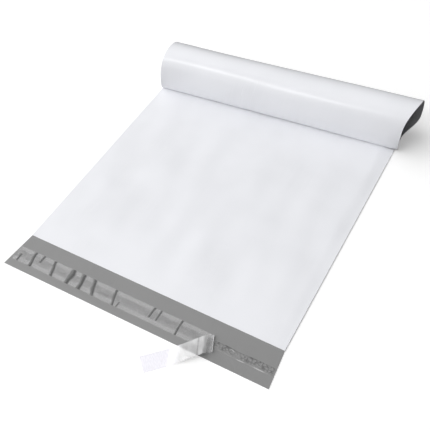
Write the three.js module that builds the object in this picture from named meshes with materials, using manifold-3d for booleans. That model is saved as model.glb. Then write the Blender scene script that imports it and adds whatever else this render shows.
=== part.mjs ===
// A film mailing bag that lies open on a surface: its sealing flap points forward, and its far end has
// curled up and over. Millimetres, +Z up, +Y from the flap to the curl. A place on the flat bag is
// x across it, along from the flap's front edge, and height above the surface.
import * as THREE from "three";
import { mergeVertices } from "three/addons/utils/BufferGeometryUtils.js";
import Module from "manifold-3d";

const wasm = await Module();
wasm.setup();

// Film bag, flat
const bagWidth = 330;
const pocketLength = 540;
const flapLength = 48;
const flapFlare = 4; // each front corner of the flap stands this far outside the side weld
const filmThickness = 0.4;
const pocketGap = 0.8;
const sideWeld = 2;
const bagLength = flapLength + pocketLength;
const bagThickness = 2 * filmThickness + pocketGap;

// Curl of the far end, seen from the flap. It goes round as a coil, comes down over a slacker front onto
// the front panel, and turns in there. On the left it runs on as a second turn, and on the right it stops.
const curlRadiusLeft = 28.6;
const curlRadiusRight = 30.6;
const curledLengthLeft = 211.6; // length of bag that has left the surface
const curledLengthRight = 171.8;
const frontStart = THREE.MathUtils.degToRad(250); // how far round the slacker front starts
const frontSlack = 2; // radius of the front over the coil's
const turnInRadius = 4;
const coilGap = 0.7; // clear space between one turn and the next
const flatSteps = 2;
const curlSteps = 44; // down to the place where the front meets the front panel
const tuckedSteps = 14; // from there to the bag's end
const tuckedGrowth = 1.3; // power by which those steps grow
const latestTuck = 0.99; // share of the curled length by which they start
const acrossSteps = 12;

// Sideways reach of the curl's open right end. Where it starts and ends is a share of the curled length.
const rimReach = 13; // how far its back stands out past the bag's side
const rimReachEnd = 0.22;
const rimReturn = 9; // how much less its front does
const rimReturnStart = 0.5;
const rimReturnEnd = 0.81;

// Grey inner ply that shows on the flap
const plyThickness = 0.2;
const plyTongue = 10; // how far it runs on into the mouth
const seatClearance = 0.3;

// Adhesive strip and its release liner
const stripMiddle = 19.5; // middle of the strip, from the flap's front edge
const adhesiveWidth = 10;
const adhesiveThickness = 0.2;
const linerWidth = 20;
const linerThickness = 0.2;
const linerAcrossSteps = 2;

// Peeled end of the liner, along a line square to its fold
const peeledLength = 84;
const linerTab = 12; // how far the flat liner stands past the bag's right edge, as a pull tab
const foldLean = THREE.MathUtils.degToRad(22.5); // half the angle that the peeled end swings forward
const foldRadius = 1.8;
const foldTurn = THREE.MathUtils.degToRad(158);
const riseLength = 8;
const crestRadius = 5;
const descentSlope = THREE.MathUtils.degToRad(12);
const landingRadius = 20;
const stuckLength = bagWidth + linerTab - peeledLength;

// Tunnels where the liner has lifted off: distance from the left end, width, and lean along the bag
const tunnelHeightShare = 0.12; // height of a tunnel over its width
const tunnels = [
  { at: 5.5, width: 2, lean: -0.15 },
  { at: 22.5, width: 3.3, lean: -0.15 },
  { at: 32.5, width: 2, lean: 0 },
  { at: 51.5, width: 3, lean: -0.24 },
  { at: 75, width: 4.5, lean: -0.04 },
  { at: 90, width: 5, lean: -0.19 },
  { at: 106.5, width: 3.5, lean: -0.33 },
  { at: 134, width: 2.5, lean: -0.27 },
  { at: 181, width: 1.8, lean: 0.05 },
  { at: 190, width: 2, lean: -0.1 },
  { at: 217, width: 2, lean: -0.05 },
];

const plyBase = filmThickness;
const adhesiveBase = plyBase + plyThickness;
const linerBase = adhesiveBase + adhesiveThickness;

const { clamp, lerp, smoothstep } = THREE.MathUtils;

function follow(stretches, distance) {
  // Place and heading at a distance along a path of arcs and straight stretches, which starts level.
  let out = Math.min(distance, 0);
  let up = 0;
  let heading = 0;
  let left = Math.max(distance, 0);
  for (const { length, turn } of stretches) {
    const run = Math.min(left, length);
    const turned = (turn * run) / length;
    const chord = turned ? (2 * run * Math.sin(turned / 2)) / turned : run;
    out += chord * Math.cos(heading + turned / 2);
    up += chord * Math.sin(heading + turned / 2);
    heading += turned;
    left -= run;
  }
  return { out: out + left * Math.cos(heading), up: up + left * Math.sin(heading), heading };
}

function arc(radius, turn) {
  return { length: radius * Math.abs(turn), turn };
}

function curlPath(radius) {
  // Outer face of the curl: coil, front, turn in, run back over the panel, and second turn.
  const turnStep = bagThickness + coilGap;
  const frontRadius = frontSlack * radius;
  const spare = radius - turnInRadius - turnStep + (frontRadius - radius) * Math.cos(frontStart);
  const frontEnd = 2 * Math.PI - Math.acos(spare / (frontRadius - turnInRadius));
  const coil = arc(radius, frontStart);
  const front = arc(frontRadius, frontEnd - frontStart);
  const turnIn = arc(turnInRadius, 2 * Math.PI - frontEnd);
  const landed = follow([coil, front, turnIn], coil.length + front.length + turnIn.length);
  const runBack = { length: -landed.out, turn: 0 };
  return [coil, front, turnIn, runBack, arc(radius - turnStep, 2 * Math.PI)];
}

function curledLengthAt(x) {
  return lerp(curledLengthLeft, curledLengthRight, x / bagWidth + 0.5);
}

function liftOffAt(x) {
  return bagLength - curledLengthAt(x);
}

function curlPathAt(x) {
  return curlPath(lerp(curlRadiusLeft, curlRadiusRight, x / bagWidth + 0.5));
}

function alongRow(x, row, end) {
  // Place along the bag of a row on the curl: even steps down to where the front lands, then growing ones.
  const [coil, front] = curlPathAt(x);
  const landed = liftOffAt(x) + Math.min(coil.length + front.length, latestTuck * curledLengthAt(x));
  if (row <= curlSteps) return lerp(liftOffAt(x), landed, row / curlSteps);
  return lerp(landed, end, ((row - curlSteps) / tuckedSteps) ** tuckedGrowth);
}

function rimReachAt(share) {
  const reach = rimReach * smoothstep(share, 0, rimReachEnd);
  return reach - rimReturn * smoothstep(share, rimReturnStart, rimReturnEnd);
}

function onCurl(x, along, height) {
  const curled = along - liftOffAt(x);
  const { out, up, heading } = follow(curlPathAt(x), curled);
  return new THREE.Vector3(
    x + (x / bagWidth + 0.5) * rimReachAt(curled / curledLengthAt(x)),
    liftOffAt(x) + out - height * Math.sin(heading),
    up + height * Math.cos(heading),
  );
}

function bentBox(steps, place) {
  // A box cut into steps, with each corner moved to place(u, v, w), where all three run from 0 to 1.
  const box = new THREE.BoxGeometry(1, 1, 1, ...steps);
  const corners = box.getAttribute("position");
  for (let i = 0; i < corners.count; i++) {
    const moved = place(corners.getX(i) + 0.5, corners.getY(i) + 0.5, corners.getZ(i) + 0.5);
    corners.setXYZ(i, moved.x, moved.y, moved.z);
  }
  return box;
}

function bagBlock(halfWidth, start, end, low, high) {
  // Part of the bag from start to end. Its rows follow the lift-off line, and each block that this makes
  // has the same rows and columns up to its edges, so that their faces stay parallel round the curl.
  const rows = flatSteps + curlSteps + tuckedSteps;
  return bentBox([acrossSteps, rows, 1], (u, v, w) => {
    const x = clamp((u - 0.5) * bagWidth, -halfWidth, halfWidth);
    const height = lerp(low, high, w);
    const row = Math.round(v * rows);
    if (row < flatSteps) return new THREE.Vector3(x, lerp(start, liftOffAt(x), row / flatSteps), height);
    return onCurl(x, alongRow(x, row - flatSteps, end), height);
  });
}

function flapSheet(neckHalfWidth, shoulder, end, base, thickness) {
  // The flap's outline with a neck that runs on towards the pocket.
  const front = bagWidth / 2 + flapFlare;
  const back = front - (flapFlare * shoulder) / flapLength;
  const outline = new THREE.Shape([
    new THREE.Vector2(-front, 0),
    new THREE.Vector2(front, 0),
    new THREE.Vector2(back, shoulder),
    new THREE.Vector2(neckHalfWidth, shoulder),
    new THREE.Vector2(neckHalfWidth, end),
    new THREE.Vector2(-neckHalfWidth, end),
    new THREE.Vector2(-neckHalfWidth, shoulder),
    new THREE.Vector2(-back, shoulder),
  ]);
  return new THREE.ExtrudeGeometry(outline, { depth: thickness, bevelEnabled: false }).translate(0, 0, base);
}

function toSolid(geometry) {
  const bare = geometry.clone();
  bare.deleteAttribute("normal");
  bare.deleteAttribute("uv");
  const merged = mergeVertices(bare, 1e-4);
  return new wasm.Manifold(
    new wasm.Mesh({
      numProp: 3,
      vertProperties: new Float32Array(merged.getAttribute("position").array),
      triVerts: new Uint32Array(merged.index.array),
    }),
  );
}

function toGeometry(solid) {
  const mesh = solid.getMesh();
  const geometry = new THREE.BufferGeometry();
  geometry.setAttribute("position", new THREE.BufferAttribute(mesh.vertProperties, 3));
  geometry.setIndex(new THREE.BufferAttribute(mesh.triVerts, 1));
  geometry.computeVertexNormals();
  return geometry;
}

function bagFilm() {
  // One folded sheet: back panel with the flap, and front panel, welded at the sides.
  const half = bagWidth / 2;
  const pocketHalf = half - sideWeld;
  const panels = toSolid(bagBlock(half, flapLength, bagLength, 0, bagThickness));
  const flap = toSolid(flapSheet(half, flapLength, flapLength + sideWeld, 0, filmThickness));
  const pocket = toSolid(
    bagBlock(
      pocketHalf,
      flapLength - sideWeld,
      bagLength - filmThickness,
      filmThickness,
      filmThickness + pocketGap,
    ),
  );
  return toGeometry(panels.subtract(pocket).add(flap));
}

function innerPly() {
  const neck = bagWidth / 2 - sideWeld - seatClearance;
  const shoulder = flapLength - seatClearance;
  return flapSheet(neck, shoulder, flapLength + plyTongue, plyBase, plyThickness);
}

function adhesiveStrip() {
  const strip = new THREE.BoxGeometry(bagWidth, adhesiveWidth, adhesiveThickness);
  return strip.translate(0, stripMiddle, adhesiveBase + adhesiveThickness / 2);
}

function peeledPath() {
  // Stretches of the peeled end: each has a length and the angle it turns through, up and back first.
  const crestTurn = Math.PI + descentSlope - foldTurn;
  const top =
    linerBase +
    foldRadius * (1 - Math.cos(foldTurn)) +
    riseLength * Math.sin(foldTurn) +
    crestRadius * (Math.cos(foldTurn) + Math.cos(descentSlope));
  const landed = linerThickness + landingRadius * (1 - Math.cos(descentSlope));
  return [
    { ...arc(foldRadius, foldTurn), steps: 12 },
    { length: riseLength, turn: 0, steps: 1 },
    { ...arc(crestRadius, crestTurn), steps: 5 },
    { length: (top - landed) / Math.sin(descentSlope), turn: 0, steps: 2 },
    { ...arc(landingRadius, -descentSlope), steps: 4 },
  ];
}

const path = peeledPath();

function linerStations() {
  // Cross lines of the liner from its left end to its right one.
  const reach = (linerWidth / 2) * Math.tan(foldLean);
  const stations = [{ at: 0, lean: 0, lift: 0 }];
  for (const { at, width, lean } of tunnels) {
    if (at + width + reach > stuckLength) continue;
    for (const share of [-0.5, -0.25, 0, 0.25, 0.5]) {
      const lift = tunnelHeightShare * width * Math.cos(share * Math.PI) ** 2;
      stations.push({ at: at + share * width, lean, lift });
    }
  }
  let distance = 0;
  for (const { length, steps } of [{ length: 0, steps: 1 }, ...path]) {
    for (let step = 1; step <= steps; step++) {
      const at = stuckLength + (distance + (length * step) / steps) / Math.cos(foldLean);
      if (at + reach < stuckLength + peeledLength) {
        stations.push({ at, lean: -Math.tan(foldLean), lift: 0 });
      }
    }
    distance += length;
  }
  stations.push({ at: stuckLength + peeledLength, lean: 0, lift: 0 });
  return stations;
}

function releaseLiner() {
  // One strip: stuck down from the left, then folded back over itself and laid forward.
  const stations = linerStations();
  const foldLine = new THREE.Vector2(-Math.sin(foldLean), Math.cos(foldLean));
  const outward = new THREE.Vector2(Math.cos(foldLean), Math.sin(foldLean));
  const foldPoint = new THREE.Vector2(stuckLength - bagWidth / 2, stripMiddle);
  return bentBox([stations.length - 1, linerAcrossSteps, 1], (u, v, w) => {
    const { at, lean, lift } = stations[Math.round(u * (stations.length - 1))];
    const side = (v - 0.5) * linerWidth;
    const flat = new THREE.Vector2(at + lean * side - bagWidth / 2, stripMiddle + side).sub(foldPoint);
    const { out, up, heading } = follow(path, flat.dot(outward));
    const height = w * linerThickness + lift;
    const place = foldPoint
      .clone()
      .addScaledVector(foldLine, flat.dot(foldLine))
      .addScaledVector(outward, out - height * Math.sin(heading));
    return new THREE.Vector3(place.x, place.y, linerBase + up + height * Math.cos(heading));
  });
}

function part(name, geometry, color, roughness) {
  const mesh = new THREE.Mesh(geometry, new THREE.MeshStandardMaterial({ color, roughness, metalness: 0 }));
  mesh.name = name;
  return mesh;
}

const bag = new THREE.Group();
bag.add(part("bag_film", bagFilm(), 0xe9eaee, 0.38));
bag.add(part("grey_inner_ply", innerPly(), 0x8f8f90, 0.45));
bag.add(part("adhesive_strip", adhesiveStrip(), 0x9a9a99, 0.2));
bag.add(part("release_liner", releaseLiner(), 0xb4b4b5, 0.15));

// The origin is the middle of the whole bag's box, on the surface that it lies on.
const box = new THREE.Box3().setFromObject(bag, true);
const middle = box.getCenter(new THREE.Vector3());
bag.position.set(-middle.x, -middle.y, -box.min.z);

const root = new THREE.Group();
root.add(bag);
export default root;
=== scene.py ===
"""A film mailing bag that lies open: its sealing flap points forward and its far end has curled up.

Metres, +Z up, +Y from the flap to the curl. A place on the flat bag is x across it, along from the
flap's front edge, and height above the surface. The bag is laid out flat and then bent.
"""

import logging
import math
import random
from dataclasses import dataclass
from enum import Enum

import bpy
import numpy as np
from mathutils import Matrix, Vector


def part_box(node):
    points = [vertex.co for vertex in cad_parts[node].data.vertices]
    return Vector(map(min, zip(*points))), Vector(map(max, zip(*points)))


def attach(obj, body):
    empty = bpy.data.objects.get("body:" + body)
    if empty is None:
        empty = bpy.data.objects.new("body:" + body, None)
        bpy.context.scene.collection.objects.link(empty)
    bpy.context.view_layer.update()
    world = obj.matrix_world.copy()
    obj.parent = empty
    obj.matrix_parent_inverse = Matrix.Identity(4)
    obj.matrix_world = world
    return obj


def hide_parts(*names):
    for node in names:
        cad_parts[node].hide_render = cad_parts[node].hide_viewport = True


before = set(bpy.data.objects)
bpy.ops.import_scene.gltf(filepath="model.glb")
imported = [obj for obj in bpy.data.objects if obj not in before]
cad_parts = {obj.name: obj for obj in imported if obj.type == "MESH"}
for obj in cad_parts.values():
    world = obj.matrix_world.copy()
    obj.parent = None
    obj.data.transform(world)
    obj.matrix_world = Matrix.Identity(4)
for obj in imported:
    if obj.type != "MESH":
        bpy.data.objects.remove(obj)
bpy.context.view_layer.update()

BODY = "root"

FILM_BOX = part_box("bag_film")
PLY_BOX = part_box("grey_inner_ply")
ADHESIVE_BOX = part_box("adhesive_strip")

log = logging.getLogger("mailing_bag")

Inputs = dict[str, object]
Colour = tuple[float, float, float, float]
Socket = bpy.types.NodeSocket
Grid = np.ndarray
Span = tuple[float, float]
Length = Grid | float


class Slot(Enum):
    """Finishes that the record names, which a scene can repaint."""

    WHITE_FILM = "white_film"
    GREY_FILM = "grey_film"
    ADHESIVE = "adhesive"
    CLEAR_LINER = "clear_liner"


class Field(Enum):
    """Values that a mesh carries at its points, for its finish to read."""

    FLAT = "flat_place"
    CREASE = "crease"
    GLINT = "glint"
    TUNNEL = "tunnel"
    WETTED = "wetted"
    HAZE = "haze"
    FLYING = "flying"
    LAID = "laid"


Fields = dict[Field, Grid]


def linear(*levels: int) -> Colour:
    """Turn a screen colour's three levels, up to 255, into the linear colour that a shader takes."""
    shares = [level / 255 for level in levels]
    return (*(s / 12.92 if s <= 0.04045 else ((s + 0.055) / 1.055) ** 2.4 for s in shares), 1.0)


def smooth_step(low: float, high: float, value: Grid) -> Grid:
    """Rise smoothly from 0, where the value is low, to 1, where it is high."""
    share = np.clip((value - low) / (high - low), 0.0, 1.0)
    return share * share * (3 - 2 * share)


def spaced(start: float, end: float, step: float) -> Grid:
    """Return evenly spaced values from start to end, no further apart than step."""
    return np.linspace(start, end, max(2, math.ceil(abs(end - start) / step) + 1))


@dataclass(frozen=True)
class Waves:
    """Smooth unevenness of a film: plane waves in random directions, summed.

    Attributes:
        seed: start of the random draws.
        shortest: shortest wavelength.
        longest: longest wavelength.
        height: height that the waves mostly stay within, up and down.
        stretch: how many times longer the waves are across the bag than along it.
        count: number of waves.
    """

    seed: int
    shortest: float
    longest: float
    height: float = 1.0
    stretch: float = 1.0
    count: int = 16

    def at(self, x: Grid, along: Grid) -> Grid:
        """Work out how high the waves stand.

        Args:
            x: places across the bag.
            along: places along the bag.

        Returns:
            The height at each place.
        """
        chance = random.Random(self.seed)
        total = np.zeros(np.broadcast(x, along).shape)
        for _ in range(self.count):
            wavelength = chance.uniform(self.shortest, self.longest)
            heading = chance.uniform(0, math.tau)
            phase = chance.uniform(0, math.tau)
            travelled = x / self.stretch * math.cos(heading) + along * math.sin(heading)
            total += np.cos(math.tau * travelled / wavelength + phase)
        return self.height * total / math.sqrt(self.count)


def add_object(name: str, data: bpy.types.ID) -> bpy.types.Object:
    """Add an object to the scene.

    Args:
        name: name of the object.
        data: its mesh, camera or light.

    Returns:
        The new object.
    """
    item = bpy.data.objects.new(name, data)
    bpy.context.scene.collection.objects.link(item)
    return item


def slab(
    name: str, upper: Grid, lower: Grid, fields: Fields, lower_fields: Fields | None = None
) -> bpy.types.Object:
    """Build one closed sheet between two grids of points.

    Args:
        name: name of the piece.
        upper: rows, columns and places of its upper face; a row runs along +X, and the rows along +Y.
        lower: the same for its lower face.
        fields: values at each row and column, carried by both faces.
        lower_fields: values that the lower face carries instead.

    Returns:
        The new object, linked to the scene.
    """
    rows, columns = upper.shape[:2]
    count = rows * columns
    index = np.arange(count).reshape(rows, columns)
    faces = np.stack([index[:-1, :-1], index[:-1, 1:], index[1:, 1:], index[1:, :-1]], -1).reshape(-1, 4)
    rim = np.concatenate([index[0, :-1], index[:-1, -1], index[-1, :0:-1], index[:0:-1, 0]])
    after = np.roll(rim, -1)
    walls = np.stack([rim + count, after + count, after, rim], -1)
    mesh = bpy.data.meshes.new(name)
    points = np.concatenate([upper.reshape(-1, 3), lower.reshape(-1, 3)])
    mesh.from_pydata(points, [], np.concatenate([faces, faces[:, ::-1] + count, walls]))
    for field, values in fields.items():
        below = (lower_fields or {}).get(field, values)
        both = np.concatenate([values.reshape(count, -1), below.reshape(count, -1)]).astype(np.float32)
        vector = both.shape[1] == 3
        layer = mesh.attributes.new(field.value, "FLOAT_VECTOR" if vector else "FLOAT", "POINT")
        layer.data.foreach_set("vector" if vector else "value", both.ravel())
    mesh.validate()
    mesh.shade_smooth()
    mesh.set_sharp_from_angle(angle=math.radians(50))
    return add_object(name, mesh)


@dataclass(frozen=True)
class Graph:
    """Adds nodes to one node tree and feeds their inputs by name.

    Attributes:
        tree: the tree of a material, a world or a node group.
    """

    tree: bpy.types.NodeTree

    @classmethod
    def on(cls, owner: bpy.types.Material | bpy.types.World) -> "Graph":
        """Start on the emptied tree of a material or a world.

        Args:
            owner: the material or world.

        Returns:
            A graph on its tree.
        """
        owner.use_nodes = True
        owner.node_tree.nodes.clear()
        return cls(owner.node_tree)

    def add(self, kind: str, inputs: Inputs | None = None, **settings: object) -> bpy.types.Node:
        """Add one node.

        Args:
            kind: Blender's name of the node type.
            inputs: what feeds each input, by the input's name: another node's output, or a value.
            **settings: properties of the node itself.

        Returns:
            The new node.
        """
        node = self.tree.nodes.new(kind)
        for name, value in settings.items():
            setattr(node, name, value)
        for name, value in (inputs or {}).items():
            self.feed(node.inputs[name], value)
        return node

    def feed(self, socket: Socket, value: object) -> None:
        """Link another node's output to a socket, or set the socket's own value.

        Args:
            socket: the socket to feed.
            value: an output or a value.
        """
        if isinstance(value, Socket):
            self.tree.links.new(value, socket)
        else:
            socket.default_value = value

    def math(self, operation: str, *values: object) -> Socket:
        """Combine values by arithmetic.

        Args:
            operation: Blender's name of the operation.
            *values: outputs or numbers, in the order of the operation.

        Returns:
            The result.
        """
        node = self.add("ShaderNodeMath", operation=operation)
        for socket, value in zip(node.inputs, values):
            self.feed(socket, value)
        return node.outputs["Value"]

    def times(self, *values: object) -> Socket:
        """Multiply two values."""
        return self.math("MULTIPLY", *values)

    def ramp(self, value: object, low: float, high: float, start: float, end: float) -> Socket:
        """Map a value from the range low to high onto the range start to end, held at both ends."""
        inputs: Inputs = {"Value": value, "From Min": low, "From Max": high, "To Min": start, "To Max": end}
        return self.add("ShaderNodeMapRange", inputs, clamp=True).outputs["Result"]

    def mix(self, share: object, first: object, second: object) -> Socket:
        """Mix two colours.

        Args:
            share: how much of the second colour shows, from 0 to 1.
            first: colour or output.
            second: colour or output.

        Returns:
            The mixed colour.
        """
        node = self.add("ShaderNodeMix", data_type="RGBA")
        sockets = {socket.identifier: socket for socket in (*node.inputs, *node.outputs)}
        for name, value in (("Factor_Float", share), ("A_Color", first), ("B_Color", second)):
            self.feed(sockets[name], value)
        return sockets["Result_Color"]

    def field(self, field: Field) -> Socket:
        """Read a value that the mesh carries at its points."""
        return self.add("ShaderNodeAttribute", attribute_name=field.value).outputs["Fac"]

    def seen(self) -> Socket:
        """Return 1 for rays from the camera, and 0 for the rest."""
        return self.add("ShaderNodeLightPath").outputs["Is Camera Ray"]

    def noise(self, place: object, scale: object, detail: float, distortion: float = 0.0) -> Socket:
        """Return smooth noise from 0 to 1, drawn over a place."""
        inputs: Inputs = {"Vector": place, "Scale": scale, "Detail": detail, "Distortion": distortion}
        return self.add("ShaderNodeTexNoise", inputs).outputs["Fac"]

    def bump(self, height: object, depth: float, **more: object) -> Socket:
        """Return the normals of a surface that a height raises, with more inputs by their names."""
        inputs: Inputs = {"Height": height, "Distance": depth, "Strength": 1.0, **more}
        return self.add("ShaderNodeBump", inputs).outputs["Normal"]

    def effect(self, group: bpy.types.NodeTree, **values: float) -> bpy.types.Node:
        """Place a shared effect over the sheet laid out flat, with its own values."""
        place = self.add("ShaderNodeAttribute", attribute_name=Field.FLAT.value).outputs["Vector"]
        return self.add("ShaderNodeGroup", {"Place": place, **values}, node_tree=group)


@dataclass(frozen=True)
class Effects:
    """Surface effects that more than one finish uses, each built once as a node group.

    Attributes:
        crumple: soft patchy creases of handled film.
        drawn_lines: fine lines that the film was drawn out with, along its length.
    """

    crumple: bpy.types.NodeTree
    drawn_lines: bpy.types.NodeTree

    @classmethod
    def build(cls) -> "Effects":
        """Make the node groups."""
        return cls(cls._crumple(), cls._drawn_lines())

    @staticmethod
    def _group(name: str, inputs: list[str], outputs: list[str]) -> tuple[bpy.types.NodeTree, Graph]:
        """Make an empty group with a place input.

        Args:
            name: name of the group.
            inputs: names of the number inputs.
            outputs: names of the number outputs.

        Returns:
            The group and a graph on it.
        """
        tree = bpy.data.node_groups.new(name, "ShaderNodeTree")
        tree.interface.new_socket(name="Place", in_out="INPUT", socket_type="NodeSocketVector")
        for in_out, labels in (("INPUT", inputs), ("OUTPUT", outputs)):
            for label in labels:
                tree.interface.new_socket(name=label, in_out=in_out, socket_type="NodeSocketFloat")
        return tree, Graph(tree)

    @classmethod
    def _crumple(cls) -> bpy.types.NodeTree:
        """Make soft creases that come and go in patches.

        Returns:
            The node group.
        """
        tree, graph = cls._group("crumple", ["Scale", "Patches"], ["Height", "Patch"])
        source = graph.add("NodeGroupInput")
        place = source.outputs["Place"]
        creases = graph.noise(place, source.outputs["Scale"], 3.0, 0.6)
        patches = graph.noise(place, source.outputs["Patches"], 2.0)
        patch = graph.ramp(patches, 0.42, 0.68, 0.0, 1.0)
        folded = graph.math("ABSOLUTE", graph.math("SUBTRACT", creases, 0.5))
        height = graph.times(folded, graph.math("ADD", patch, 0.25))
        graph.add("NodeGroupOutput", {"Height": height, "Patch": patch})
        return tree

    @classmethod
    def _drawn_lines(cls) -> bpy.types.NodeTree:
        """Make fine lines that run along the film.

        Returns:
            The node group.
        """
        tree, graph = cls._group("drawn_lines", ["Fineness", "Stretch"], ["Height"])
        source = graph.add("NodeGroupInput")
        squeezed = graph.add("ShaderNodeCombineXYZ", {"X": 1.0, "Y": source.outputs["Stretch"], "Z": 1.0})
        inputs: Inputs = {"Vector": source.outputs["Place"], "Scale": squeezed.outputs["Vector"]}
        place = graph.add("ShaderNodeMapping", inputs).outputs["Vector"]
        height = graph.noise(place, source.outputs["Fineness"], 2.0)
        graph.add("NodeGroupOutput", {"Height": height})
        return tree


@dataclass(frozen=True)
class Finish:
    """What every finish has.

    Attributes:
        effects: the shared effects.
        slot: the record's slot.
    """

    effects: Effects
    slot: Slot

    def inputs(self, graph: Graph) -> Inputs:
        """Return what feeds the surface shader, which every finish works out for itself."""
        raise NotImplementedError

    def dress(self, piece: bpy.types.Object, node: str) -> None:
        """Give a piece this finish, and say what it rides on and stands for.

        Args:
            piece: the piece.
            node: the frame's node that it stands for.
        """
        material = bpy.data.materials.new(self.slot.value)
        graph = Graph.on(material)
        surface = graph.add("ShaderNodeBsdfPrincipled", self.inputs(graph))
        graph.add("ShaderNodeOutputMaterial", {"Surface": surface.outputs["BSDF"]})
        piece.data.materials.append(material)
        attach(piece, BODY)
        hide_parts(node)
        log.info("%s: %d faces", piece.name, len(piece.data.polygons))


@dataclass(frozen=True)
class FilmFinish(Finish):
    """Opaque polythene film, with drawn lines along it, soft creases in patches and painted shade in them.

    Attributes:
        colour: colour of the film.
        shaded: colour in the hollows of the creases, a painted shade.
        gloss: roughness of the smooth film.
        dull: roughness where it is creased.
        sheen: strength of its reflections, 0.5 being that of plain plastic.
        crease_depth: depth of the creases.
        line_depth: depth of the drawn lines.
    """

    colour: Colour
    shaded: Colour
    gloss: float
    dull: float
    sheen: float
    crease_depth: float
    line_depth: float = 0.00004

    def inputs(self, graph: Graph) -> Inputs:
        """Work out what feeds the film's shader.

        Args:
            graph: graph of the material.

        Returns:
            The shader's inputs by name.
        """
        crumple = graph.effect(self.effects.crumple, Scale=55.0, Patches=13.0)
        lines = graph.effect(self.effects.drawn_lines, Fineness=700.0, Stretch=0.015)
        patch = crumple.outputs["Patch"]
        # painted shade: the creased patches darken the colour towards shaded, and dull its roughness.
        shade_and_dull_patches = graph.times(patch, graph.ramp(lines.outputs["Height"], 0.3, 0.7, 0.6, 1.0))
        creases = graph.bump(crumple.outputs["Height"], self.crease_depth)
        return {
            "Base Color": graph.mix(shade_and_dull_patches, self.colour, self.shaded),
            "Roughness": graph.ramp(shade_and_dull_patches, 0.0, 1.0, self.gloss, self.dull),
            "Specular IOR Level": self.sheen,
            "Normal": graph.bump(lines.outputs["Height"], self.line_depth, Normal=creases),
        }


@dataclass(frozen=True)
class AdhesiveFinish(Finish):
    """Clear pressure-sensitive adhesive on grey film: glossy, with painted shade in its creases and painted
    glints along raised ridges.

    Attributes:
        colour: colour of the smooth adhesive.
        crease_shade_colour: painted shade, the darker colour in its creases.
        glint_colour: colour of the painted glints, bright lines of highlight along raised ridges.
        gloss: roughness of the smooth adhesive.
        dull: roughness where it is smeared.
        smear: how much lighter it is there, as a share of the way to the glints' colour.
        bump_depth: depth of its unevenness.
    """

    colour: Colour = linear(137, 137, 137)
    # painted shade in the creases
    crease_shade_colour: Colour = linear(98, 98, 98)
    # painted highlight of the glints
    glint_colour: Colour = linear(190, 190, 190)
    gloss: float = 0.16
    dull: float = 0.34
    smear: float = 0.05
    bump_depth: float = 0.0003

    def inputs(self, graph: Graph) -> Inputs:
        """Work out what feeds the adhesive's shader.

        Args:
            graph: graph of the material.

        Returns:
            The shader's inputs by name.
        """
        crumple = graph.effect(self.effects.crumple, Scale=420.0, Patches=90.0)
        patch = crumple.outputs["Patch"]
        # painted shade: the colour darkens in the creases, where shade would fall.
        creased = graph.mix(graph.field(Field.CREASE), self.colour, self.crease_shade_colour)
        smeared = graph.mix(graph.times(patch, self.smear), creased, self.glint_colour)
        return {
            # painted highlight: the glints lighten the colour to glint_colour.
            "Base Color": graph.mix(graph.field(Field.GLINT), smeared, self.glint_colour),
            "Roughness": graph.ramp(patch, 0.0, 1.0, self.gloss, self.dull),
            "Normal": graph.bump(crumple.outputs["Height"], self.bump_depth),
        }


@dataclass(frozen=True)
class LinerFinish(Finish):
    """Thin clear film: nearly clear where adhesive wets it, hazy elsewhere, with painted dark shade where it
    bridges.

    Attributes:
        colour: colour of the film's haze.
        laid_colour: colour of it on the end that lies on the surface.
        tunnel_shade_colour: painted shade, the dark colour where the film bridges a tunnel.
        gloss: roughness of the film along its clearest lines.
        dull: roughness along its haziest lines.
        bubble_depth: depth of the bubbles where it is wetted.
        wetted_clear: how much clearer wetting makes the film, at least and at most.
        streaks: haze of the clearest and of the haziest line, over the usual.
        tunnel_cover: share of what lies below a tunnel that its painted shade hides.
        laid_shade: shade that the laid end casts, over what its cover would.
        flying_shade: the same for the stretch that stands free.
    """

    colour: Colour = linear(247, 247, 248)
    laid_colour: Colour = linear(243, 241, 251)
    # painted shade under the tunnels
    tunnel_shade_colour: Colour = linear(108, 108, 108)
    gloss: float = 0.14
    dull: float = 0.22
    bubble_depth: float = 0.0002
    wetted_clear: Span = (0.35, 0.85)
    streaks: Span = (0.94, 1.06)
    tunnel_cover: float = 0.66
    laid_shade: float = 0.1
    flying_shade: float = 1.8

    def inputs(self, graph: Graph) -> Inputs:
        """Work out what feeds the liner's shader.

        Args:
            graph: graph of the material.

        Returns:
            The shader's inputs by name.
        """
        crumple = graph.effect(self.effects.crumple, Scale=260.0, Patches=170.0)
        line = graph.effect(self.effects.drawn_lines, Fineness=1100.0, Stretch=0.2).outputs["Height"]
        wetted = graph.field(Field.WETTED)
        clear = graph.times(wetted, graph.ramp(crumple.outputs["Patch"], 0.0, 1.0, *self.wetted_clear))
        veil = graph.times(graph.field(Field.HAZE), graph.math("SUBTRACT", 1.0, clear))
        veil = graph.times(veil, graph.ramp(line, 0.35, 0.65, *self.streaks))
        tunnel = graph.field(Field.TUNNEL)
        cover = graph.math("MAXIMUM", veil, graph.times(tunnel, self.tunnel_cover))
        laid = graph.field(Field.LAID)
        unseen = graph.math("SUBTRACT", 1.0, graph.seen())
        shade = graph.ramp(graph.times(laid, unseen), 0.0, 1.0, 1.0, self.laid_shade)
        flying = graph.times(graph.field(Field.FLYING), unseen)
        shade = graph.times(shade, graph.ramp(flying, 0.0, 1.0, 1.0, self.flying_shade))
        film = graph.mix(laid, self.colour, self.laid_colour)
        return {
            # painted shade: tunnels turn the film dark and hide most of what lies below.
            "Base Color": graph.mix(tunnel, film, self.tunnel_shade_colour),
            "Roughness": graph.ramp(line, 0.3, 0.7, self.gloss, self.dull),
            "Alpha": graph.math("MINIMUM", graph.times(cover, shade), 1.0),
            "Normal": graph.bump(crumple.outputs["Height"], self.bubble_depth, Strength=wetted),
        }


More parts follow.
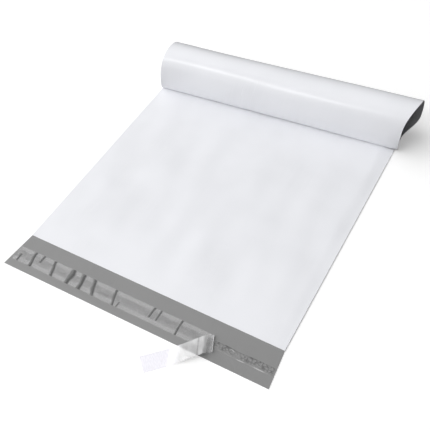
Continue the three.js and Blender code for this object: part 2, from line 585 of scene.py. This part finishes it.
@dataclass(frozen=True)
class FlatLayout:
    """Where the flat bag lies, read from the frame.

    Attributes:
        width: width of the bag between its side welds' outer edges.
        flare: how far each front corner of the flap stands outside that width.
        middle: x of the bag's middle line.
        front: y of the flap's front edge.
    """

    width: float
    flare: float
    middle: float
    front: float

    @classmethod
    def from_frame(cls) -> "FlatLayout":
        """Read the layout from the boxes of the film and the adhesive, which spans the bag's width.

        Returns:
            The layout.
        """
        low, high = ADHESIVE_BOX
        return cls(high.x - low.x, low.x - FILM_BOX[0].x, (high.x + low.x) / 2, FILM_BOX[0].y)

    def place(self, x: Grid, along: Grid, height: Grid) -> Grid:
        """Move points from the flat bag's own measure to the shared frame."""
        flat = np.broadcast_arrays(x + self.middle, along + self.front, height)
        return np.stack(flat, -1)


@dataclass(frozen=True)
class Stretch:
    """Stretch of a path: its length and the angle that it turns through, at each place across the bag."""

    length: Length
    turn: Length


def arc(radius: Length, turn: Length) -> Stretch:
    """Return a round stretch of a path."""
    return Stretch(radius * np.abs(turn), turn)


def follow(path: list[Stretch], distance: Grid) -> tuple[Grid, Grid, Grid]:
    """Follow a path of round and straight stretches, which starts level.

    Args:
        path: the stretches in order.
        distance: distances past the path's start.

    Returns:
        How far out and up each place is, and its heading.
    """
    out = np.minimum(distance, 0.0)
    up = np.zeros_like(out)
    heading = np.zeros_like(out)
    left = np.maximum(distance, 0.0)
    for stretch in path:
        run = np.minimum(left, stretch.length)
        turned = stretch.turn * run / stretch.length
        chord = run * np.sinc(turned / math.tau)
        out = out + chord * np.cos(heading + turned / 2)
        up = up + chord * np.sin(heading + turned / 2)
        heading = heading + turned
        left = left - run
    return out + left * np.cos(heading), up + left * np.sin(heading), heading


@dataclass(frozen=True)
class Curl:
    """Curled far end of the bag: a coil that comes down over a slacker front, and turns in on the panel.

    Attributes:
        layout: where the flat bag lies.
        bag_length: length of the back panel with the flap.
        bag_thickness: thickness of the closed bag.
        radius_left: outer radius at the left side.
        radius_right: outer radius at the right side.
        curled_left: length of bag that has left the surface at the left side.
        curled_right: the same at the right side.
        front_start: how far round the slacker front starts.
        front_slack: radius of the front over the coil's.
        turn_in: radius where the front turns in on the panel.
        turn_gap: clear space between one turn and the next.
        reach: how far the back of the open right end stands out past the bag's side.
        reaching: shares of the curled length between which it comes to stand out.
        draw_back: how much less the front of the right end stands out.
        drawing_back: shares between which it draws back.
    """

    layout: FlatLayout
    bag_length: float = 0.588
    bag_thickness: float = 0.0016
    radius_left: float = 0.0286
    radius_right: float = 0.0306
    curled_left: float = 0.2116
    curled_right: float = 0.1718
    front_start: float = math.radians(250)
    front_slack: float = 2.0
    turn_in: float = 0.004
    turn_gap: float = 0.0007
    reach: float = 0.013
    reaching: Span = (0.0, 0.22)
    draw_back: float = 0.009
    drawing_back: Span = (0.50, 0.81)

    def across(self, x: Grid) -> Grid:
        """Return the share of the bag's width to the left of each place."""
        return x / self.layout.width + 0.5

    def length(self, x: Grid) -> Grid:
        """Return the length of bag that has left the surface."""
        return self.curled_left + (self.curled_right - self.curled_left) * self.across(x)

    def lift_off(self, x: Grid) -> Grid:
        """Return how far along the bag it leaves the surface."""
        return self.bag_length - self.length(x)

    def path(self, x: Grid) -> list[Stretch]:
        """Work out the outer face's path: coil, front, turn in, run back over the panel, second turn.

        Args:
            x: places across the bag.

        Returns:
            The stretches, with a length and a turn for each place.
        """
        radius = self.radius_left + (self.radius_right - self.radius_left) * self.across(x)
        turn_step = self.bag_thickness + self.turn_gap
        front_radius = self.front_slack * radius
        spare = radius - self.turn_in - turn_step + (front_radius - radius) * math.cos(self.front_start)
        front_end = math.tau - np.arccos(spare / (front_radius - self.turn_in))
        coil = arc(radius, self.front_start)
        front = arc(front_radius, front_end - self.front_start)
        turn_in = arc(self.turn_in, math.tau - front_end)
        landed, _, _ = follow([coil, front, turn_in], coil.length + front.length + turn_in.length)
        return [coil, front, turn_in, Stretch(-landed, 0.0), arc(radius - turn_step, math.tau)]

    def bend(self, x: Grid, along: Grid, height: Length) -> Grid:
        """Bend points of the flat bag onto the curl.

        Args:
            x: places across the bag.
            along: places along the bag.
            height: heights above the bag's lower face.

        Returns:
            Points in the shared frame.
        """
        past = along - self.lift_off(x)
        out, up, heading = follow(self.path(x), past)
        share = past / self.length(x)
        reach = self.reach * smooth_step(*self.reaching, share)
        reach = reach - self.draw_back * smooth_step(*self.drawing_back, share)
        forward = self.lift_off(x) + out - height * np.sin(heading)
        return self.layout.place(x + self.across(x) * reach, forward, up + height * np.cos(heading))


@dataclass(frozen=True)
class FilmBag:
    """The bag's one folded sheet, as its white outer ply and its grey inner one.

    Attributes:
        layout: where the flat bag lies.
        curl: coil of its far end.
        flap_length: length of the sealing flap.
        outer_ply: thickness of the white ply.
        inner_ply: thickness of the grey ply.
        ply_gap: space between the two plies' faces.
        weld: width of each side weld.
        shoulder: width over which the bag grows to its full thickness beside a weld.
        mouth: where it starts to grow past the mouth, and where it has.
        dents: unevenness of the thickness, as a share of it.
        puffs: the same in wide swells.
        thinnest: least thickness, as a share.
        slack: how far the curled film stands off its smooth coil.
        mesh_step: greatest distance between two rows or columns.
        curl_step: the same between two rows on the curl.
        fold_steps: rows around the fold at the bag's bottom.
    """

    layout: FlatLayout
    curl: Curl
    flap_length: float = 0.048
    outer_ply: float = FILM_BOX[0].z + PLY_BOX[0].z
    inner_ply: float = PLY_BOX[1].z - PLY_BOX[0].z
    ply_gap: float = 0.00001
    weld: float = 0.002
    shoulder: float = 0.014
    mouth: Span = (-0.01, 0.05)
    dents: Waves = Waves(seed=11, shortest=0.035, longest=0.11, height=0.5)
    puffs: Waves = Waves(seed=23, shortest=0.12, longest=0.3, height=0.4)
    thinnest: float = 0.05
    slack: Waves = Waves(seed=5, shortest=0.022, longest=0.07, height=0.00022, stretch=5)
    mesh_step: float = 0.004
    curl_step: float = 0.0025
    fold_steps: int = 6

    def thickness(self, x: Grid, along: Length) -> Grid:
        """Work out the closed bag's thickness, which the welds and the mouth press flat.

        Args:
            x: places across the bag.
            along: places along the bag.

        Returns:
            The thickness at each place.
        """
        pressed = 2 * (self.outer_ply + self.inner_ply + self.ply_gap)
        from_side = self.layout.width / 2 - self.weld - np.abs(x)
        open_share = smooth_step(0, self.shoulder, from_side)
        open_share = open_share * smooth_step(*self.mouth, along - self.flap_length)
        room = self.curl.bag_thickness - pressed
        uneven = 1 + self.dents.at(x, along) + self.puffs.at(x, along)
        return pressed + room * open_share * np.maximum(uneven, self.thinnest)

    def lift(self, x: Grid, along: Grid) -> Grid:
        """Return how far the curled film stands off its smooth coil; on the flat it is 0."""
        return smooth_step(0.01, 0.05, along - self.curl.lift_off(x)) * self.slack.at(x, along)

    def skin(self, depth: float) -> tuple[Grid, Grid]:
        """Lay one skin of the sheet: forward on the back panel, round the bottom, and back on the front one.

        Args:
            depth: how far inside the bag's outer face the skin lies.

        Returns:
            The skin's points, and the same points on the sheet laid out flat.
        """
        half = self.layout.width / 2
        welded = half - self.weld * np.array([0.0, 0.35, 0.7])
        inside = spaced(self.weld - half, half - self.weld, self.mesh_step)
        x = np.concatenate([-welded, inside, welded[::-1]])
        turn = self.curl.bag_thickness / 2
        bottom = self.curl.bag_length - turn
        curl_start = self.curl.lift_off(-half)
        flap = spaced(0, self.flap_length, self.mesh_step)[:-1]
        flat_panel = spaced(self.flap_length, curl_start, self.mesh_step)[:-1]
        panel = np.concatenate([flat_panel, spaced(curl_start, bottom, self.curl_step)])
        back = np.concatenate([flap, panel])[:, None]
        front = panel[::-1, None]
        angle = math.pi * np.arange(1, self.fold_steps)[:, None] / self.fold_steps
        total = self.thickness(x, bottom)
        arm = total / 2 - depth
        points = (
            self._bent(x, back, depth),
            self._bent(x, bottom + arm * np.sin(angle), total / 2 - arm * np.cos(angle)),
            self._bent(x, front, self.thickness(x, front) - depth),
        )
        flat_along = np.concatenate([back, bottom + turn * angle, 2 * bottom + math.pi * turn - front])
        return np.concatenate(points), np.stack(np.broadcast_arrays(x, flat_along, 0.0), -1)

    def _bent(self, x: Grid, along: Grid, height: Length) -> Grid:
        """Flare points towards the flap's front edge, and bend them onto the curl."""
        flare = 2 * self.layout.flare / self.layout.width * np.clip(1 - along / self.flap_length, 0, 1)
        return self.curl.bend(x * (1 + flare), along, height + self.lift(x, along))

    def build(self, outer: FilmFinish, inner: FilmFinish) -> None:
        """Build and dress both plies.

        Args:
            outer: finish of the white ply.
            inner: finish of the grey ply.
        """
        seam = self.outer_ply + self.ply_gap
        plies = (
            ("outer_film", 0.0, self.outer_ply, outer, "bag_film"),
            ("inner_film", seam, seam + self.inner_ply, inner, "grey_inner_ply"),
        )
        for name, start, end, finish, node in plies:
            outside, flat = self.skin(start)
            inside, _ = self.skin(end)
            piece = slab(name, inside, outside, {Field.FLAT: flat})
            finish.dress(piece, node)


@dataclass(frozen=True)
class Glint:
    """One painted glint, a bright line of highlight along a raised ridge of adhesive: its middle from the
    bag's right side, its place along, and its size.
    """

    from_right: float
    along: float
    length: float
    width: float
    slant: float


@dataclass(frozen=True)
class AdhesiveStripe:
    """Stripe of clear adhesive across the flap, rippled where the liner has been pulled off it.

    Attributes:
        layout: where the flat bag lies.
        bared: x where the liner leaves the adhesive.
        mesh_step: greatest distance between two rows or columns.
        ripple: height of the ripples on the bared stretch.
        crease_lines: waves whose level lines the creases follow.
        crease_width: width of the creases, in those waves' heights.
        crease_patches: where the creases come and go.
        creased: places along where they start and where they are in full.
        waver: how far the stripe's edges stray.
        glints: its painted glints, bright lines of highlight along raised ridges.
    """

    layout: FlatLayout
    bared: float
    mesh_step: float = 0.0005
    ripple: float = 0.00030
    crease_lines: Waves = Waves(seed=41, shortest=0.003, longest=0.008)
    crease_width: float = 0.36
    crease_patches: Waves = Waves(seed=44, shortest=0.014, longest=0.035)
    creased: Span = (0.0150, 0.0180)
    waver: Waves = Waves(seed=47, shortest=0.02, longest=0.06, height=0.0003)
    glints: tuple[Glint, ...] = (
        Glint(0.0360, 0.0148, 0.0090, 0.0010, 0.03),
        Glint(0.0142, 0.0150, 0.0125, 0.0011, -0.02),
        Glint(0.0480, 0.0225, 0.0060, 0.0006, -0.20),
    )

    def _marks(self, x: Grid, along: Grid) -> tuple[Grid, Grid]:
        """Draw the thin wandering creases of the bared adhesive, and the places of its painted glints.

        Args:
            x: places across the bag.
            along: places along the bag.

        Returns:
            1 on a crease, falling to 0 beside it, and the same for the painted glints.
        """
        lines = np.exp(-((self.crease_lines.at(x, along) / self.crease_width) ** 2))
        patches = 0.35 + 0.65 * smooth_step(-0.7, 0.3, self.crease_patches.at(x, along))
        beside_fold = 1 - smooth_step(0.004, 0.012, x - self.bared)
        bared = smooth_step(0.0, 0.003, x - self.bared)
        creases = lines * np.maximum(patches, beside_fold) * smooth_step(*self.creased, along) * bared
        # painted highlight: the glints' mask, which also raises thin ridges in the stripe's height.
        glint_share = np.zeros_like(x)
        for glint in self.glints:
            out = x - (self.layout.width / 2 - glint.from_right)
            side = along - glint.along - glint.slant * out
            glint_share += np.exp(-((2 * out / glint.length) ** 4) - (2 * side / glint.width) ** 2)
        return creases, np.minimum(glint_share, 1.0)

    def build(self, finish: AdhesiveFinish) -> None:
        """Build and dress the stripe.

        Args:
            finish: finish of the adhesive.
        """
        low, high = ADHESIVE_BOX
        across = spaced(-self.layout.width / 2, self.layout.width / 2, self.mesh_step)
        start, end = low.y - self.layout.front, high.y - self.layout.front
        x, along = np.meshgrid(across, spaced(start, end, self.mesh_step))
        crown = smooth_step(-0.0004, 0.001, np.minimum(along - start, end - along))
        crease, glint = self._marks(x, along)
        edge = smooth_step(-0.002, 0.002, along - (start + end) / 2)
        wander = self.waver.at(x, along) * (2 * edge - 1)
        bared = smooth_step(0.0, 0.006, x - self.bared)
        top = low.z + (high.z - low.z) * crown + self.ripple * bared * (glint + 0.8 * crease) * crown
        upper = self.layout.place(x, along + wander, top)
        lower = self.layout.place(x, along + wander, np.full_like(x, low.z))
        fields = {Field.FLAT: np.stack([x, along, 0 * x], -1), Field.CREASE: crease, Field.GLINT: glint}
        piece = slab("adhesive_stripe", upper, lower, fields)
        finish.dress(piece, "adhesive_strip")


@dataclass(frozen=True)
class Tunnel:
    """Narrow place where the liner has lifted off.

    Attributes:
        at: distance from the liner's left end.
        width: width of the tunnel.
        lean: how far it leans along the liner for each metre across it.
        low: where it starts across the liner, from -0.5 to 0.5 of the liner's width.
        high: where it ends.
    """

    at: float
    width: float
    lean: float
    low: float = -0.5
    high: float = 0.5


@dataclass(frozen=True)
class ReleaseLiner:
    """Strip of clear film: stuck down from the left, then folded back over itself and laid forward.

    Attributes:
        layout: where the flat bag lies.
        middle: place along the bag of the strip's middle line.
        base: height of the stuck film's lower face, on top of the adhesive.
        width: width of the strip.
        thickness: thickness of the strip.
        peeled: length of the peeled end, along the strip.
        tab: how far the flat strip would stand past the bag's right side.
        fold_lean: half the angle that the peeled end swings forward.
        fold_radius: radius of the tight fold.
        fold_turn: angle of the tight fold.
        rise: length that rises from the fold to the crest.
        crest_radius: radius of the crest.
        descent: slope from the crest down to the surface.
        landing_radius: radius where it meets the surface.
        mesh_step: greatest distance between two columns along the strip.
        side_step: greatest distance between two rows across it.
        hazy: distances past the fold's start where the rise turns hazy.
        laid: distances past it where the end starts to lie flat and where it does.
        wetted_half: half the width that the adhesive wets.
        tunnel_height: height of a tunnel over its width.
        tunnel_bow: how far the tunnels' sides stray.
        ripple: how far the free stretch stands off its smooth path.
        ragged: how far the wetted edge strays.
        tunnels: where the stuck part has lifted off.
    """

    layout: FlatLayout
    middle: float
    base: float = ADHESIVE_BOX[1].z
    width: float = 0.020
    thickness: float = 0.0002
    peeled: float = 0.084
    tab: float = 0.012
    fold_lean: float = math.radians(22.5)
    fold_radius: float = 0.0018
    fold_turn: float = math.radians(158)
    rise: float = 0.008
    crest_radius: float = 0.005
    descent: float = math.radians(12)
    landing_radius: float = 0.020
    mesh_step: float = 0.0004
    side_step: float = 0.001
    hazy: Span = (0.0095, 0.0125)
    laid: Span = (0.036, 0.050)
    wetted_half: float = 0.0049
    tunnel_height: float = 0.12
    tunnel_bow: Waves = Waves(seed=67, shortest=0.014, longest=0.04, height=0.0007)
    ripple: Waves = Waves(seed=61, shortest=0.008, longest=0.03, height=0.0004)
    ragged: Waves = Waves(seed=71, shortest=0.004, longest=0.012, height=0.0006)
    tunnels: tuple[Tunnel, ...] = (
        Tunnel(0.0055, 0.0020, -0.15, -0.5, 0.0),
        Tunnel(0.0225, 0.0033, -0.15),
        Tunnel(0.0325, 0.0020, 0.00, 0.0, 0.5),
        Tunnel(0.0515, 0.0030, -0.24),
        Tunnel(0.0750, 0.0045, -0.04),
        Tunnel(0.0900, 0.0050, -0.19),
        Tunnel(0.1065, 0.0035, -0.33),
        Tunnel(0.1340, 0.0025, -0.27),
        Tunnel(0.1440, 0.0016, 0.20, -0.5, -0.15),
        Tunnel(0.1810, 0.0018, 0.05, -0.2, 0.5),
        Tunnel(0.1900, 0.0020, -0.10, -0.2, 0.5),
        Tunnel(0.2170, 0.0020, -0.05),
    )

    @property
    def stuck(self) -> float:
        """Length of the stuck part, on the strip's middle line."""
        return self.layout.width + self.tab - self.peeled

    @property
    def fold_x(self) -> float:
        """Place across the bag where the middle line meets the fold."""
        return self.stuck - self.layout.width / 2

    def path(self) -> list[Stretch]:
        """Work out the peeled end's path.

        Returns:
            The stretches: fold, rise, crest, descent and landing.
        """
        crest_turn = math.pi + self.descent - self.fold_turn
        top = (
            self.base
            + self.fold_radius * (1 - math.cos(self.fold_turn))
            + self.rise * math.sin(self.fold_turn)
            + self.crest_radius * (math.cos(self.fold_turn) + math.cos(self.descent))
        )
        landed = self.thickness + self.landing_radius * (1 - math.cos(self.descent))
        return [
            arc(self.fold_radius, self.fold_turn),
            Stretch(self.rise, 0.0),
            arc(self.crest_radius, crest_turn),
            Stretch((top - landed) / math.sin(self.descent), 0.0),
            arc(self.landing_radius, -self.descent),
        ]

    def _tunnel_share(self, at: Grid, side: Grid) -> tuple[Grid, Grid]:
        """Work out where the liner has lifted off.

        Args:
            at: distances from the liner's left end.
            side: distances from its middle line.

        Returns:
            The lift, and the share of a tunnel from 0 to 1, at each place.
        """
        lift, share = np.zeros_like(at), np.zeros_like(at)
        bowed = at + self.tunnel_bow.at(at, side)
        for tunnel in self.tunnels:
            off = (bowed - tunnel.at - tunnel.lean * side) / tunnel.width
            across = side / self.width
            ends = smooth_step(tunnel.low - 0.08, tunnel.low, across)
            ends = ends * (1 - smooth_step(tunnel.high, tunnel.high + 0.08, across))
            hump = np.where(np.abs(off) < 0.5, np.cos(off * math.pi) ** 2, 0.0) * ends
            lift = np.maximum(lift, self.tunnel_height * tunnel.width * hump)
            share = np.maximum(share, ends * (1 - smooth_step(0.42, 0.95, np.abs(off))))
        return lift, share

    def _haze(self, outward: Grid, laid: Grid) -> Grid:
        """Work out the film's haze: a painted highlight on the fold, painted shade on the clearer rise, hazy
        past it, most where laid.

        Args:
            outward: distances past the fold's start.
            laid: share that lies on the surface.

        Returns:
            The haze at each place.
        """
        # painted highlight: the bright line along the fold; the rise is made clearer as painted shade of its
        # underside, and the haze past it is partly the peeled film's own and partly the crest's painted
        # highlight.
        fold = np.exp(-(((outward - 0.0026) / 0.0009) ** 2))
        dark_line = np.exp(-(((outward - 0.0205) / 0.0009) ** 2))
        rise = smooth_step(0.0, 0.004, outward)
        peeled = smooth_step(*self.hazy, outward)
        return 0.23 - 0.09 * rise + 0.27 * peeled + 0.95 * fold - 0.14 * dark_line + 0.34 * laid

    def build(self, finish: LinerFinish) -> None:
        """Build and dress the liner.

        Args:
            finish: finish of the liner.
        """
        along_strip = spaced(0, self.stuck + self.peeled, self.mesh_step)
        at, side = np.meshgrid(along_strip, spaced(-self.width / 2, self.width / 2, self.side_step))
        lift, tunnel = self._tunnel_share(at, side)
        x = at - self.stuck
        lean_cos, lean_sin = math.cos(self.fold_lean), math.sin(self.fold_lean)
        outward = x * lean_cos + side * lean_sin
        sideways = side * lean_cos - x * lean_sin
        out, up, heading = follow(self.path(), outward)
        laid = smooth_step(*self.laid, outward)
        loose = smooth_step(self.fold_radius * self.fold_turn, 0.02, outward)
        flying = loose * (1 - smooth_step(0.035, 0.05, outward))
        bend = lift + self.ripple.at(at, side) * flying
        past_edge = np.abs(side) + self.ragged.at(at, side) - self.wetted_half
        wetted = (1 - smooth_step(-0.0007, 0.0007, past_edge)) * (1 - smooth_step(-0.003, 0.002, outward))
        haze = self._haze(outward, laid)
        upright = np.cos(heading) > 0
        fields = {
            Field.FLAT: np.stack([at, side, 0 * at], -1),
            Field.TUNNEL: tunnel,
            Field.WETTED: wetted,
            Field.FLYING: flying,
            Field.LAID: laid,
            Field.HAZE: haze * upright,
        }
        lower_fields = {Field.TUNNEL: 0 * tunnel, Field.HAZE: haze * ~upright}
        skins = []
        for height in (0.0, self.thickness):
            off = height + bend
            reach = out - off * np.sin(heading)
            place_x = self.fold_x - lean_sin * sideways + lean_cos * reach
            place_along = self.middle + lean_cos * sideways + lean_sin * reach
            skins.append(self.layout.place(place_x, place_along, self.base + up + off * np.cos(heading)))
        piece = slab("liner_film", skins[1], skins[0], fields, lower_fields)
        finish.dress(piece, "release_liner")


@dataclass(frozen=True)
class Studio:
    """Pale floor, soft light and the camera at the photograph's viewing angle.

    Attributes:
        layout: where the flat bag lies.
        aim: how far right of the bag's middle and behind the flap's front edge the camera looks.
        azimuth: angle of the camera round to the right of the bag's middle line.
        elevation: angle of the camera above the floor.
        distance: distance of the camera from the point that it looks at.
        lens: focal length in millimetres, on the usual sensor.
        floor_size: side of the floor.
        floor_colour: colour of the floor that the camera sees.
        floor_bounce: its colour for the light that it throws back.
        floor_glow: how much of the floor that the camera sees is plain white, and so free of shadow.
        floor_white: strength of that white.
        brightest: direction that most of the light from all round comes from.
        ambient_edge: cosine of the angle from it past which there is next to none.
        ambient: strength of that light on the far side, and at its brightest.
        backdrop: strength of the white that the camera sees past the floor.
        lamp_azimuth: angle of the lamp round to the right of the bag's middle line.
        lamp_elevation: angle of the lamp above the floor.
        lamp_distance: distance of the lamp from the bag.
        lamp_size: level side of the lamp, and its other side.
        lamp_power: power of the lamp, in watts.
    """

    layout: FlatLayout
    aim: Span = (0.0108, 0.1789)
    azimuth: float = math.radians(28.3)
    elevation: float = math.radians(49.8)
    distance: float = 0.9246
    lens: float = 63.7
    floor_size: float = 8.0
    floor_colour: Colour = linear(246, 246, 246)
    floor_bounce: Colour = linear(124, 124, 124)
    floor_glow: float = 0.2
    floor_white: float = 1.8
    brightest: Vector = Vector((-0.87, -0.22, 0.44))
    ambient_edge: float = 0.25
    ambient: Span = (0.03, 3.34)
    backdrop: float = 1.3
    lamp_azimuth: float = math.radians(-22)
    lamp_elevation: float = math.radians(50)
    lamp_distance: float = 1.6
    lamp_size: Span = (0.9, 0.26)
    lamp_power: float = 5.8

    @staticmethod
    def _direction(azimuth: float, elevation: float) -> Vector:
        """Return the direction at one angle to the right of the bag's front and another above the floor."""
        level = math.cos(elevation)
        return Vector((math.sin(azimuth) * level, -math.cos(azimuth) * level, math.sin(elevation)))

    def camera(self) -> None:
        """Place the camera."""
        data = bpy.data.cameras.new("photo_camera")
        data.lens = self.lens
        camera = add_object("photo_camera", data)
        aim = Vector((self.layout.middle + self.aim[0], self.layout.front + self.aim[1], 0.0))
        camera.location = aim + self._direction(self.azimuth, self.elevation) * self.distance
        camera.rotation_euler = (math.pi / 2 - self.elevation, 0.0, self.azimuth)
        bpy.context.scene.camera = camera

    def floor(self) -> None:
        """Lay the floor, which the camera sees white and which keeps the bag's shadow."""
        half = self.floor_size / 2
        mesh = bpy.data.meshes.new("floor")
        corners = [(-half, -half, 0), (half, -half, 0), (half, half, 0), (-half, half, 0)]
        mesh.from_pydata(corners, [], [(0, 1, 2, 3)])
        material = bpy.data.materials.new("floor")
        graph = Graph.on(material)
        colour = graph.mix(graph.seen(), self.floor_bounce, self.floor_colour)
        paper = graph.add("ShaderNodeBsdfDiffuse", {"Color": colour})
        glow = graph.add("ShaderNodeEmission", {"Strength": self.floor_white})
        both = graph.add("ShaderNodeMixShader", {"Fac": graph.times(graph.seen(), self.floor_glow)})
        graph.feed(both.inputs[1], paper.outputs["BSDF"])
        graph.feed(both.inputs[2], glow.outputs["Emission"])
        graph.add("ShaderNodeOutputMaterial", {"Surface": both.outputs["Shader"]})
        mesh.materials.append(material)
        add_object("floor", mesh)

    def world(self) -> None:
        """Light the scene from all round, mostly from one side, and show white behind it."""
        world = bpy.data.worlds.new("studio")
        graph = Graph.on(world)
        towards = graph.add("ShaderNodeVectorMath", operation="DOT_PRODUCT")
        graph.feed(towards.inputs[0], graph.add("ShaderNodeTexCoord").outputs["Generated"])
        graph.feed(towards.inputs[1], self.brightest)
        ambient = graph.ramp(towards.outputs["Value"], self.ambient_edge, 1.0, *self.ambient)
        strength = graph.add("ShaderNodeMix", {"Factor": graph.seen()}, data_type="FLOAT")
        graph.feed(strength.inputs["A"], ambient)
        graph.feed(strength.inputs["B"], self.backdrop)
        sky = graph.add("ShaderNodeBackground", {"Strength": strength.outputs["Result"]})
        graph.add("ShaderNodeOutputWorld", {"Surface": sky.outputs["Background"]})
        bpy.context.scene.world = world

    def key_lamp(self) -> None:
        """Hang one wide lamp that faces the bag and draws the bright line along its curl."""
        data = bpy.data.lights.new("key_lamp", "AREA")
        data.shape = "RECTANGLE"
        data.size, data.size_y = self.lamp_size
        data.energy = self.lamp_power
        lamp = add_object("key_lamp", data)
        towards = self._direction(self.lamp_azimuth, self.lamp_elevation)
        lamp.location = towards * self.lamp_distance
        lamp.rotation_euler = towards.to_track_quat("Z", "Y").to_euler()

    def build(self) -> None:
        """Set up the whole studio."""
        bpy.context.scene.view_settings.view_transform = "Standard"
        self.camera()
        self.floor()
        self.world()
        self.key_lamp()
        log.info("studio is set up")


def main() -> None:
    """Build the studio and the bag's pieces in order."""
    logging.basicConfig(level=logging.INFO, format="%(name)s: %(message)s")
    layout = FlatLayout.from_frame()
    Studio(layout).build()
    effects = Effects.build()
    white = FilmFinish(
        effects,
        slot=Slot.WHITE_FILM,
        colour=linear(238, 239, 243),
        # painted shade in the creased patches, a little darker than the film
        shaded=linear(233, 234, 238),
        gloss=0.22,
        dull=0.28,
        sheen=0.36,
        crease_depth=0.00025,
    )
    grey = FilmFinish(
        effects,
        slot=Slot.GREY_FILM,
        colour=linear(139, 139, 139),
        # painted shade in the creased patches, a little darker than the film
        shaded=linear(136, 136, 136),
        gloss=0.40,
        dull=0.48,
        sheen=0.5,
        crease_depth=0.0005,
    )
    FilmBag(layout, Curl(layout)).build(white, grey)
    strip_middle = (ADHESIVE_BOX[0].y + ADHESIVE_BOX[1].y) / 2 - layout.front
    liner = ReleaseLiner(layout, strip_middle)
    AdhesiveStripe(layout, bared=liner.fold_x).build(AdhesiveFinish(effects, Slot.ADHESIVE))
    liner.build(LinerFinish(effects, Slot.CLEAR_LINER))


if __name__ == "__main__":
    main()
